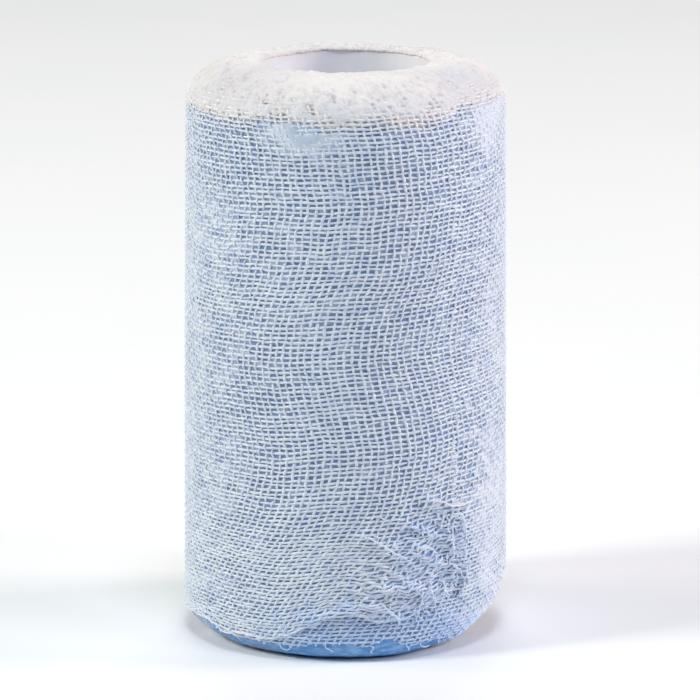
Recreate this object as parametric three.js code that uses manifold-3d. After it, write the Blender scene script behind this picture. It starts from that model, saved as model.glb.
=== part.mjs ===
// A zinc paste bandage: open gauze soaked in white zinc paste, wound on a plastic core and stood on one end.
// Sizes are in millimetres and +Z is up. The origin is on the roll's axis, at the surface that it stands on.
// Azimuths are in degrees round the axis: 0 faces -Y, where the cut end of the cloth shows, and 90 faces +X.

import * as THREE from "three";
import Module from "manifold-3d";
import { mergeVertices } from "three/addons/utils/BufferGeometryUtils.js";

const wasm = await Module();
wasm.setup();

// Driving dimensions
const CLOTH_WIDTH = 100; // a 10 cm bandage, so this is the roll's height too
const ROLL_RADIUS = 28.3; // to the outer face of the cloth at its cut end
const TURN_STEP = 0.35; // what one turn of soaked cloth adds to the radius
const FOOT_SPREAD = 0.8; // the soft roll's radius is this much larger at its foot than at its shoulder
const OVALITY = 0.12; // how far the roll is out of round
const CORE_BORE_RADIUS = 14.2;
const CORE_WALL = 1.3;
const CORE_RECESS = 1.4; // how far the core's rim lies below the crest of the wound cloth
const RIM_EASE = 0.3; // the chamfer on the core's rims
const GAP = 0.3; // clearance that separate pieces keep

// The worn ends of the roll
const SHOULDER_HEIGHT = 94; // where the side starts to turn in to the crest
const CREST_RADIUS = 19.3; // where the shoulder reaches the level crest
const SHOULDER_FULLNESS = 1.5; // 1 is a straight chamfer and 2 a quarter ellipse
const LIP_RADIUS = 14.6; // the paste laps over the core's rim as far as this
const LIP_ROUND = 0.8;
const BORE_CHAMFER = 0.4;

// The loose end: the last stretch of cloth before its cut edge
const CUT_AZIMUTH = 46;
const ROOT_AZIMUTH = -27; // from here on the cloth is simply part of the roll
const LOOSE_TOP = 93.2;
const SHEET_THICKNESS = 1;

// How fine the surfaces are
const STEPS_AROUND = 80;
const SIDE_ROWS = 14;
const SHOULDER_ROWS = 7;
const FOOT_ROWS = 5;
const LIP_ROWS = 3;
const CORE_STEPS = 60;
const SHEET_COLUMNS = 26;
const SHEET_ROWS = 28;
const SHEET_ROW_CROWDING = 1.5; // above 1, the sheet's rows lie closer together towards its crumpled lower edge
const WELD_DISTANCE = 1e-3;

// How far the foot is rounded under. It is nearly square on the left and worn well round on the right.
const FOOT_ROUNDING = [
  { azimuth: -180, radius: 4 },
  { azimuth: -90, radius: 2.8 },
  { azimuth: -45, radius: 4 },
  { azimuth: 0, radius: 4 },
  { azimuth: 45, radius: 5.4 },
  { azimuth: 90, radius: 9 },
  { azimuth: 140, radius: 6 },
  { azimuth: 180, radius: 4 },
];

// Broad soft swellings and hollows of the side: their middle, their half width and half height, and their rise
const SWELLINGS = [
  { azimuth: -8, z: 84, wide: 16, tall: 5, rise: -0.45 },
  { azimuth: 14, z: 88, wide: 26, tall: 4, rise: 0.3 },
  { azimuth: -38, z: 60, wide: 22, tall: 14, rise: 0.18 },
  { azimuth: 22, z: 52, wide: 24, tall: 10, rise: -0.2 },
  { azimuth: 62, z: 24, wide: 16, tall: 9, rise: 0.22 },
  { azimuth: 128, z: 66, wide: 30, tall: 18, rise: 0.2 },
  { azimuth: 172, z: 34, wide: 26, tall: 16, rise: -0.25 },
  { azimuth: -122, z: 44, wide: 30, tall: 20, rise: 0.2 },
  { azimuth: -150, z: 80, wide: 22, tall: 12, rise: -0.2 },
];

// Lumps and hollows of paste on the level crest: their middle, their reach and their rise
const CREST_LUMPS = [
  { azimuth: 10, radius: 20, reach: 5, rise: 0.35 },
  { azimuth: -62, radius: 18, reach: 4, rise: -0.45 },
  { azimuth: 70, radius: 19, reach: 5, rise: -0.35 },
  { azimuth: 150, radius: 20, reach: 6, rise: -0.3 },
  { azimuth: -140, radius: 18, reach: 5, rise: -0.4 },
];

// The lower edge of the loose end, which has been pulled up from the roll's foot
const LOOSE_EDGE = [
  { azimuth: -27, z: 3.4 },
  { azimuth: -22, z: 4.2 },
  { azimuth: -12, z: 6.4 },
  { azimuth: -6, z: 8.2 },
  { azimuth: 2, z: 8.7 },
  { azimuth: 12, z: 7.4 },
  { azimuth: 20, z: 7.6 },
  { azimuth: 30, z: 9.4 },
  { azimuth: 38, z: 11.4 },
  { azimuth: 46, z: 10.8 },
];

// Folds of the crumpled corner: where each starts and ends, its half width in millimetres, and its rise
const FOLDS = [
  { fromAzimuth: 29, fromZ: 27.8, toAzimuth: 46, toZ: 26.4, half: 1.2, rise: 0.75 },
  { fromAzimuth: 32, fromZ: 25.2, toAzimuth: 46, toZ: 24, half: 1.2, rise: -0.3 },
  { fromAzimuth: 40, fromZ: 21, toAzimuth: 43, toZ: 13, half: 1.5, rise: 0.8 },
  { fromAzimuth: 6, fromZ: 22.4, toAzimuth: 21, toZ: 18, half: 1.2, rise: 0.45 },
  { fromAzimuth: 24, fromZ: 20, toAzimuth: 36, toZ: 16, half: 1.3, rise: 0.5 },
  { fromAzimuth: 14, fromZ: 13, toAzimuth: 31, toZ: 12, half: 1.1, rise: 0.5 },
  { fromAzimuth: -14, fromZ: 7.4, toAzimuth: 8, toZ: 10.4, half: 1, rise: 0.4 },
];

// How the cut edge wanders from a straight line: waves along the height, in degrees of azimuth
const CUT_WAVES = [
  { length: 31, swing: 0.9 },
  { length: 9.5, swing: 0.6 },
  { length: 4.1, swing: 0.5 },
];

const CORE_OUTER_RADIUS = CORE_BORE_RADIUS + CORE_WALL;
const CORE_TOP = CLOTH_WIDTH - CORE_RECESS;
const ROLL_BORE_RADIUS = CORE_OUTER_RADIUS + GAP;

// The crest lies lower by its highest lump, so that the roll is as tall as the cloth is wide.
const CREST_HEIGHT = CLOTH_WIDTH - Math.max(...CREST_LUMPS.map((lump) => lump.rise));

const smooth = (t) => t * t * (3 - 2 * t);

// A point at an azimuth, a radius and a height.
function pointAt(azimuth, radius, z) {
  const angle = THREE.MathUtils.degToRad(azimuth);
  return new THREE.Vector3(radius * Math.sin(angle), -radius * Math.cos(angle), z);
}

// Reads a table's column at an azimuth, easing from one row to the next.
function readTable(rows, column, azimuth) {
  const last = rows.length - 1;
  if (azimuth <= rows[0].azimuth) return rows[0][column];
  if (azimuth >= rows[last].azimuth) return rows[last][column];
  const next = rows.findIndex((row) => row.azimuth > azimuth);
  const [a, b] = [rows[next - 1], rows[next]];
  const share = (azimuth - a.azimuth) / (b.azimuth - a.azimuth);
  return THREE.MathUtils.lerp(a[column], b[column], smooth(share));
}

// The shorter way round from one azimuth to another, from -180 to 180.
function turnFrom(azimuth, other) {
  return THREE.MathUtils.euclideanModulo(azimuth - other + 180, 360) - 180;
}

// How many turns of cloth lie outside the outermost cloth at this azimuth, counted from the cut end.
function turnsFromCut(azimuth) {
  return THREE.MathUtils.euclideanModulo(CUT_AZIMUTH - azimuth, 360) / 360;
}

function swellingAt(azimuth, z) {
  const rises = SWELLINGS.map((s) => {
    const across = turnFrom(azimuth, s.azimuth) / s.wide;
    const up = (z - s.z) / s.tall;
    return s.rise * Math.exp(-(across * across + up * up));
  });
  return rises.reduce((sum, rise) => sum + rise, 0);
}

// The radius of the wound cloth's outer face, so many turns in from the cut end, with the foot rounded under.
function clothRadius(azimuth, z, turns) {
  const around = THREE.MathUtils.degToRad(2 * azimuth);
  const side =
    ROLL_RADIUS -
    TURN_STEP * turns +
    FOOT_SPREAD * (0.5 - z / SHOULDER_HEIGHT) +
    OVALITY * Math.cos(around) +
    swellingAt(azimuth, z);
  const rounding = readTable(FOOT_ROUNDING, "radius", turnFrom(azimuth, 0));
  if (z >= rounding) return side;
  return side - rounding + Math.sqrt(rounding ** 2 - (rounding - z) ** 2);
}

function crestLumpAt(azimuth, radius) {
  const here = pointAt(azimuth, radius, 0);
  const rises = CREST_LUMPS.map((lump) => {
    const away = here.distanceTo(pointAt(lump.azimuth, lump.radius, 0)) / lump.reach;
    return lump.rise * Math.exp(-away * away);
  });
  return rises.reduce((sum, rise) => sum + rise, 0);
}

// One upright section of the roll: out along the foot, up the side, over the crest and down the bore.
function rollSection(azimuth) {
  const underLooseEnd = azimuth > ROOT_AZIMUTH && azimuth < CUT_AZIMUTH;
  const turns = turnsFromCut(azimuth) + (underLooseEnd ? 1 : 0);
  const rounding = readTable(FOOT_ROUNDING, "radius", turnFrom(azimuth, 0));
  const section = [];

  section.push([ROLL_BORE_RADIUS + BORE_CHAMFER, 0]);
  for (let i = 0; i <= FOOT_ROWS; i++) {
    const z = rounding * (1 - Math.cos((Math.PI / 2) * (i / FOOT_ROWS)));
    section.push([clothRadius(azimuth, z, turns), z]);
  }
  for (let i = 1; i <= SIDE_ROWS; i++) {
    const z = THREE.MathUtils.lerp(rounding, SHOULDER_HEIGHT, i / SIDE_ROWS);
    section.push([clothRadius(azimuth, z, turns), z]);
  }

  const sideRadius = clothRadius(azimuth, SHOULDER_HEIGHT, turns);
  const power = 2 / SHOULDER_FULLNESS;
  for (let i = 1; i <= SHOULDER_ROWS; i++) {
    const angle = (Math.PI / 2) * (i / SHOULDER_ROWS);
    const inwards = Math.cos(angle) ** power;
    const upwards = Math.sin(angle) ** power;
    const radius = THREE.MathUtils.lerp(CREST_RADIUS, sideRadius, inwards);
    const top = CREST_HEIGHT + crestLumpAt(azimuth, radius);
    section.push([radius, THREE.MathUtils.lerp(SHOULDER_HEIGHT, top, upwards)]);
  }

  for (let i = 0; i <= LIP_ROWS; i++) {
    const angle = (Math.PI / 2) * (i / LIP_ROWS);
    const radius = LIP_RADIUS + LIP_ROUND * (1 - Math.sin(angle));
    const top = CREST_HEIGHT + crestLumpAt(azimuth, radius);
    section.push([radius, top - LIP_ROUND * (1 - Math.cos(angle))]);
  }

  section.push([LIP_RADIUS, CORE_TOP + GAP]);
  section.push([ROLL_BORE_RADIUS, CORE_TOP + GAP]);
  section.push([ROLL_BORE_RADIUS, BORE_CHAMFER]);
  return section.map(([radius, z]) => pointAt(azimuth, radius, z));
}

// How far the folds of the crumpled corner lift the cloth.
function foldLift(azimuth, z) {
  const flatX = (a) => THREE.MathUtils.degToRad(a) * ROLL_RADIUS;
  const here = new THREE.Vector3(flatX(azimuth), z, 0);
  const rises = FOLDS.map((fold) => {
    const from = new THREE.Vector3(flatX(fold.fromAzimuth), fold.fromZ, 0);
    const to = new THREE.Vector3(flatX(fold.toAzimuth), fold.toZ, 0);
    const nearest = new THREE.Line3(from, to).closestPointToPoint(here, true, new THREE.Vector3());
    const away = nearest.distanceTo(here) / fold.half;
    return fold.rise * Math.exp(-away * away);
  });
  return rises.reduce((sum, rise) => sum + rise, 0);
}

// Where the cut edge lies at a height.
function cutAzimuth(z) {
  const swings = CUT_WAVES.map((wave) => wave.swing * Math.sin((2 * Math.PI * z) / wave.length));
  return CUT_AZIMUTH + swings.reduce((sum, swing) => sum + swing, 0);
}

// Sections of a curved sheet on the roll, each a closed loop: up its outer face and down its inner one.
// A margin grows the sheet past its edges and its inner face, and an outer margin grows it outwards.
function sheetSections({ margin, outerMargin, folded }) {
  const edgeDegrees = THREE.MathUtils.radToDeg(margin / ROLL_RADIUS);
  const sections = [];
  for (let column = 0; column <= SHEET_COLUMNS; column++) {
    const share = column / SHEET_COLUMNS;
    const outer = [];
    const inner = [];
    for (let row = 0; row <= SHEET_ROWS; row++) {
      const up = row / SHEET_ROWS;
      const middle = THREE.MathUtils.lerp(ROOT_AZIMUTH, CUT_AZIMUTH, share);
      const low = readTable(LOOSE_EDGE, "z", middle) - margin;
      const z = THREE.MathUtils.lerp(low, LOOSE_TOP + margin, up ** SHEET_ROW_CROWDING);
      const left = ROOT_AZIMUTH - edgeDegrees;
      const azimuth = THREE.MathUtils.lerp(left, cutAzimuth(z) + edgeDegrees, share);
      const turns = (CUT_AZIMUTH - azimuth) / 360;
      const flat = clothRadius(azimuth, z, turns);
      const lift = folded ? foldLift(azimuth, z) : 0;
      outer.push(pointAt(azimuth, flat + lift + outerMargin, z));
      inner.push(pointAt(azimuth, flat + Math.max(lift, 0) - SHEET_THICKNESS - margin, z));
    }
    sections.push([...outer, ...inner.reverse()]);
  }
  return sections;
}

// A closed surface over sections that are closed loops: it runs round to its start, or has both ends capped.
function loft(sections, runsRound) {
  const count = sections[0].length;
  const positions = sections.flat().flatMap((p) => [p.x, p.y, p.z]);
  const index = [];
  const quad = (a, b, c, d) => index.push(a, b, c, a, c, d);
  const spans = runsRound ? sections.length : sections.length - 1;
  for (let s = 0; s < spans; s++) {
    const here = s * count;
    const next = ((s + 1) % sections.length) * count;
    for (let i = 0; i < count; i++) {
      const j = (i + 1) % count;
      quad(here + i, next + i, next + j, here + j);
    }
  }
  if (!runsRound) {
    const last = (sections.length - 1) * count;
    for (let i = 0; i < count / 2 - 1; i++) {
      const across = count - 1 - i;
      quad(i, i + 1, across - 1, across);
      quad(last + i, last + across, last + across - 1, last + i + 1);
    }
  }
  const geometry = new THREE.BufferGeometry();
  geometry.setAttribute("position", new THREE.Float32BufferAttribute(positions, 3));
  geometry.setIndex(index);
  return geometry;
}

function toSolid(geometry) {
  const bare = geometry.clone();
  bare.deleteAttribute("normal");
  bare.deleteAttribute("uv");
  const merged = mergeVertices(bare, WELD_DISTANCE);
  return new wasm.Manifold(
    new wasm.Mesh({
      numProp: 3,
      vertProperties: merged.attributes.position.array,
      triVerts: new Uint32Array(merged.index.array),
    }),
  );
}

function toGeometry(solid) {
  const mesh = solid.getMesh();
  const geometry = new THREE.BufferGeometry();
  geometry.setAttribute("position", new THREE.BufferAttribute(mesh.vertProperties, mesh.numProp));
  geometry.setIndex(new THREE.BufferAttribute(mesh.triVerts, 1));
  geometry.computeVertexNormals();
  return geometry;
}

// The wound cloth as one solid, with a shallow seat under the loose end.
function makeRoll() {
  const azimuths = Array.from({ length: STEPS_AROUND }, (_, i) => -180 + (360 * i) / STEPS_AROUND);
  const wound = toSolid(loft(azimuths.map(rollSection), true));
  const seatShape = { margin: GAP, outerMargin: 5, folded: false };
  const seat = toSolid(loft(sheetSections(seatShape), false));
  return toGeometry(wound.subtract(seat));
}

// The last stretch of cloth: a thin curved sheet, crumpled and pulled up at its free corner.
function makeLooseEnd() {
  const sheetShape = { margin: 0, outerMargin: 0, folded: true };
  return toGeometry(toSolid(loft(sheetSections(sheetShape), false)));
}

// The plastic tube that the cloth is wound on, with both rims eased.
function makeCore() {
  const profile = new THREE.Path();
  profile.moveTo(CORE_BORE_RADIUS + RIM_EASE, 0);
  profile.lineTo(CORE_OUTER_RADIUS - RIM_EASE, 0);
  profile.lineTo(CORE_OUTER_RADIUS, RIM_EASE);
  profile.lineTo(CORE_OUTER_RADIUS, CORE_TOP - RIM_EASE);
  profile.lineTo(CORE_OUTER_RADIUS - RIM_EASE, CORE_TOP);
  profile.lineTo(CORE_BORE_RADIUS + RIM_EASE, CORE_TOP);
  profile.lineTo(CORE_BORE_RADIUS, CORE_TOP - RIM_EASE);
  profile.lineTo(CORE_BORE_RADIUS, RIM_EASE);
  profile.closePath();
  const geometry = new THREE.LatheGeometry(profile.getPoints(1), CORE_STEPS);
  return geometry.rotateX(Math.PI / 2);
}

const MATERIALS = {
  pastedCloth: new THREE.MeshStandardMaterial({ color: 0xc6d2e0, roughness: 0.85, metalness: 0 }),
  looseCloth: new THREE.MeshStandardMaterial({ color: 0xd2dbe6, roughness: 0.85, metalness: 0 }),
  corePlastic: new THREE.MeshStandardMaterial({ color: 0xdcdde6, roughness: 0.4, metalness: 0 }),
};

function namedMesh(name, geometry, material) {
  const mesh = new THREE.Mesh(geometry, material);
  mesh.name = name;
  return mesh;
}

const bandage = new THREE.Group();
bandage.add(
  namedMesh("wound_roll", makeRoll(), MATERIALS.pastedCloth),
  namedMesh("loose_end", makeLooseEnd(), MATERIALS.looseCloth),
  namedMesh("core_tube", makeCore(), MATERIALS.corePlastic),
);

export default bandage;
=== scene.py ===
# The looks of a zinc paste bandage roll: open gauze soaked in white paste, wound on a plastic core.
# Shapes are worked out in millimetres and handed to Blender in metres.
# Azimuths are in degrees round the roll's axis: 0 faces the camera and 90 faces +X.
import math

import bpy
import numpy as np
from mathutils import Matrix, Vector


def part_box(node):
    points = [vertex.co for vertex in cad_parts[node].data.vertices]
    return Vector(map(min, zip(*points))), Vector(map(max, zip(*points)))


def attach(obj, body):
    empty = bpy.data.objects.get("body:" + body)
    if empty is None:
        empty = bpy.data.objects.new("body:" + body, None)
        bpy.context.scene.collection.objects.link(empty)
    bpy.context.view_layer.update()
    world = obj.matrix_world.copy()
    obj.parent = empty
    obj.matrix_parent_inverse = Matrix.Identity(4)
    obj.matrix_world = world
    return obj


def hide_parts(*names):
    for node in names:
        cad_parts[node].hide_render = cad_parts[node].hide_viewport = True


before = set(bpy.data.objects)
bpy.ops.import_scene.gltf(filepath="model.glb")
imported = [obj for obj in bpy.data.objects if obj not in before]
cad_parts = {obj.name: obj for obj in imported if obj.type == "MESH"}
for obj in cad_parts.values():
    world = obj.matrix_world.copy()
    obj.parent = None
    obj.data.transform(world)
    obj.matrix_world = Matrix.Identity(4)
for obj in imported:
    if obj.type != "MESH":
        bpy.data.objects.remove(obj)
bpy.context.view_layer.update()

MM = 0.001

# The wound roll, as in the part's own source but for a sharper lip
ROLL_RADIUS = 28.3  # to the outer face of the cloth at its cut end, half way up
TURN_STEP = 0.35  # what one turn of soaked cloth adds to the radius
FOOT_SPREAD = 0.8  # how much larger the radius is at the foot than at the shoulder
OVALITY = 0.12
SHOULDER_HEIGHT = 94
CREST_RADIUS = 19.3
CREST_HEIGHT = 99.65
SHOULDER_FULLNESS = 1.5  # 1 is a straight chamfer and 2 a quarter ellipse
LIP_RADIUS = 14.4
LIP_ROUND = 0.5
CUT_AZIMUTH = 46
ROOT_AZIMUTH = -27  # where the loose end joins the roll
BORE_RADIUS = 15.8

# The core
CORE_RAISED = 0.6  # how far its rim lies above the one in the part's source
CORE_INNER_RADIUS = 14.45
CORE_RIM_ROUND = 0.45

# How far the foot is rounded under, at the left and right a little more than in the part's source
FOOT_ROUNDING = [
    dict(azimuth=-180, radius=4),
    dict(azimuth=-95, radius=4),
    dict(azimuth=-68, radius=6),
    dict(azimuth=-45, radius=4.4),
    dict(azimuth=15, radius=4),
    dict(azimuth=45, radius=7),
    dict(azimuth=68, radius=10.5),
    dict(azimuth=90, radius=12),
    dict(azimuth=140, radius=7),
    dict(azimuth=180, radius=4),
]

# Soft rises and dips of the side
SWELLINGS = [
    dict(azimuth=-8, z=84, wide=16, tall=5, rise=-0.45),
    dict(azimuth=14, z=88, wide=26, tall=4, rise=0.3),
    dict(azimuth=-38, z=60, wide=22, tall=14, rise=0.18),
    dict(azimuth=22, z=52, wide=24, tall=10, rise=-0.2),
    dict(azimuth=62, z=24, wide=16, tall=9, rise=0.22),
    dict(azimuth=128, z=66, wide=30, tall=18, rise=0.2),
    dict(azimuth=172, z=34, wide=26, tall=16, rise=-0.25),
    dict(azimuth=-122, z=44, wide=30, tall=20, rise=0.2),
    dict(azimuth=-150, z=80, wide=22, tall=12, rise=-0.2),
]

# Rises and dips of the crest
CREST_LUMPS = [
    dict(azimuth=10, radius=20, reach=5, rise=0.35),
    dict(azimuth=-62, radius=18, reach=4, rise=-0.45),
    dict(azimuth=70, radius=19, reach=5, rise=-0.35),
    dict(azimuth=150, radius=20, reach=6, rise=-0.3),
    dict(azimuth=-140, radius=18, reach=5, rise=-0.4),
]

# Folds of the loose corner: each runs from one azimuth and height to another
FOLDS = [
    dict(start=(29, 27.8), end=(46, 26.2), half=1.1, rise=0.95),
    dict(start=(32, 25.0), end=(46, 23.8), half=1.2, rise=-0.35),
    dict(start=(42, 22.8), end=(44.5, 12.4), half=0.75, rise=1.2),
    dict(start=(37, 22.0), end=(40, 13.5), half=0.75, rise=0.8),
    dict(start=(24, 23.4), end=(36, 20.6), half=0.7, rise=0.5),
    dict(start=(6, 22.4), end=(21, 18.0), half=1.2, rise=0.45),
    dict(start=(24, 20.0), end=(36, 16.0), half=1.3, rise=0.5),
    dict(start=(14, 13.0), end=(31, 12.0), half=1.1, rise=0.5),
    dict(start=(-14, 7.4), end=(8, 10.4), half=1.0, rise=0.4),
]

# The lower edge of the outermost turn, from the cut end leftwards round the roll
TURN_EDGE = [
    dict(azimuth=-314, z=-2.4),
    dict(azimuth=-270, z=-2.4),
    dict(azimuth=-200, z=0.4),
    dict(azimuth=-130, z=1.4),
    dict(azimuth=-100, z=2.8),
    dict(azimuth=-77, z=3.5),
    dict(azimuth=-60, z=4.2),
    dict(azimuth=-42, z=3.4),
    dict(azimuth=-27, z=3.4),
    dict(azimuth=-22, z=4.2),
    dict(azimuth=-12, z=6.4),
    dict(azimuth=-6, z=8.2),
    dict(azimuth=2, z=8.7),
    dict(azimuth=12, z=7.4),
    dict(azimuth=20, z=7.6),
    dict(azimuth=30, z=9.4),
    dict(azimuth=38, z=11.4),
    dict(azimuth=46, z=10.8),
]

# The lower edge of the turn under it, where the outermost turn's raised edge leaves it in sight
UNDER_EDGE = [
    dict(azimuth=-60, z=2.4),
    dict(azimuth=-19, z=2.5),
    dict(azimuth=-9, z=3.1),
    dict(azimuth=1, z=3.3),
    dict(azimuth=6, z=2.5),
    dict(azimuth=11, z=3.6),
    dict(azimuth=15, z=4.4),
    dict(azimuth=19, z=3.0),
    dict(azimuth=23, z=2.2),
    dict(azimuth=30, z=2.4),
    dict(azimuth=38, z=2.0),
    dict(azimuth=43, z=1.6),
    dict(azimuth=52, z=-1.0),
    dict(azimuth=60, z=-2.4),
]

# The gauze: warp yarns run round the roll and weft yarns run up it
COLUMNS = 134  # weft yarns round the roll
ROW_PITCH = 0.84  # from one warp yarn to the next
FIRST_ROW = -8
LAST_ROW = 125
WARP_HALF_WIDTH = 0.225
WEFT_HALF_WIDTH = 0.25
YARN_HALF_HEIGHT = 0.18
YARN_MIDDLE = -0.25  # a yarn's middle against the cloth's outer face
WARP_CRIMP = 0.08  # how far the warp waves in and out
WEFT_CRIMP = 0.17
YARN_SIDES = 4
STEPS_A_CROSSING = 2  # sections of a yarn from one crossing to the next
EXTRA_COLUMNS = 14  # more columns at both ends, since the weft yarns lean
ROOT_COLUMN = 27  # the weft yarn at the loose end's root
EDGE_CLIMB = 3.2  # where the outermost turn's edge would lie if it weren't pulled up
PULL_REACH = 12  # the height over which that pull fades to about a third
PULL_SHARE = 0.55  # how much of the edge's rise the gauze follows
BURIED_CLIMB = 102  # above this the thick paste hides the yarns

# The crumpled corner
CRUMPLE_RIGHT = 47  # the azimuth of its right end
CRUMPLE_REACH = 15  # half its width in degrees
CRUMPLE_LOW_REACH = 11  # what its half width gains lower down
CRUMPLE_MIDDLE = 15.5  # the height of its middle
CRUMPLE_TALL = 11  # half its height
CURLS = 80  # short loose yarns strewn over it

# How far the weft yarns lean to the right of upright, in degrees
WEFT_LEANS = [
    dict(z=-8, lean=32),
    dict(z=10, lean=36),
    dict(z=15, lean=31),
    dict(z=19, lean=42),
    dict(z=23, lean=28),
    dict(z=28, lean=19),
    dict(z=34, lean=9),
    dict(z=39, lean=-13),
    dict(z=44, lean=-15),
    dict(z=50, lean=-14),
    dict(z=54, lean=7),
    dict(z=59, lean=11),
    dict(z=64, lean=25),
    dict(z=69, lean=10),
    dict(z=74, lean=6),
    dict(z=77, lean=15),
    dict(z=81, lean=-12),
    dict(z=87, lean=-6),
    dict(z=91, lean=-20),
    dict(z=104, lean=-8),
]

# How much higher the warp yarns lie at the right than at the middle
WARP_TILTS = [
    dict(z=-8, tilt=0.8),
    dict(z=24, tilt=1.0),
    dict(z=44, tilt=2.3),
    dict(z=57, tilt=1.6),
    dict(z=72, tilt=1.2),
    dict(z=104, tilt=0.8),
]

# Where the paste fills the gauze's gaps; an emptier gap lies deeper and is coloured with painted shade
PASTE_FILLS = [
    dict(azimuth=-76, z=50, wide=24, tall=70, fill=0.42),
    dict(azimuth=-15, z=91.3, wide=12, tall=2.9, fill=1.5),
    dict(azimuth=62, z=94, wide=15, tall=6, fill=1.0),
    dict(azimuth=63, z=21, wide=14, tall=13, fill=0.5),
    dict(azimuth=54, z=5, wide=18, tall=8, fill=0.4),
    dict(azimuth=74, z=55, wide=20, tall=60, fill=0.4),
    dict(azimuth=-48, z=72, wide=12, tall=8, fill=0.2),
    # These two emptier spots at the loose corner paint its blue shadows, under the folds
    dict(azimuth=32, z=18, wide=16, tall=9, fill=-0.3),
    dict(azimuth=40, z=24.4, wide=6, tall=1.3, fill=-0.4),
    dict(azimuth=-18, z=14, wide=30, tall=9, fill=-0.2),
    dict(azimuth=170, z=44, wide=36, tall=26, fill=0.5),
    dict(azimuth=-140, z=76, wide=26, tall=14, fill=0.6),
]

# The lower border of the paste that covers the shoulder and the crest
PASTE_BORDER = [
    dict(azimuth=-180, z=93.4),
    dict(azimuth=-120, z=94.2),
    dict(azimuth=-66, z=93.1),
    dict(azimuth=-45, z=92.5),
    dict(azimuth=-26, z=93.6),
    dict(azimuth=-15, z=93.5),
    dict(azimuth=0, z=92.5),
    dict(azimuth=9, z=93.9),
    dict(azimuth=20, z=92.4),
    dict(azimuth=36, z=93.7),
    dict(azimuth=45, z=94.7),
    dict(azimuth=66, z=94.3),
    dict(azimuth=120, z=93.6),
    dict(azimuth=180, z=93.4),
]

# The level of that paste by its distance above the border, from under the yarns to above them
PASTE_LEVELS = [
    dict(above=-3, level=-0.8),
    dict(above=-0.6, level=-0.5),
    dict(above=0.2, level=-0.26),
    dict(above=1.2, level=-0.09),
    dict(above=2.6, level=0.0),
    dict(above=6.0, level=0.08),
    dict(above=9.5, level=0.12),
]

# Larger pits in it
PASTE_PITS = [
    dict(azimuth=-30, z=96.5, wide=1.6, tall=0.4, depth=0.3),
    dict(azimuth=-25, z=96.7, wide=1.6, tall=0.4, depth=0.3),
    dict(azimuth=-20, z=97.4, wide=1.4, tall=0.4, depth=0.25),
    dict(azimuth=-13, z=96.2, wide=1.8, tall=0.7, depth=0.4),
    dict(azimuth=-6, z=98.7, wide=1.6, tall=0.4, depth=0.3),
    dict(azimuth=-22.5, z=94.1, wide=1.9, tall=0.45, depth=0.6),
    dict(azimuth=14, z=97.8, wide=1.5, tall=0.5, depth=0.3),
    dict(azimuth=21, z=98.8, wide=0.9, tall=0.5, depth=0.25),
    dict(azimuth=38, z=97.7, wide=1.4, tall=0.5, depth=0.3),
]

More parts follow.
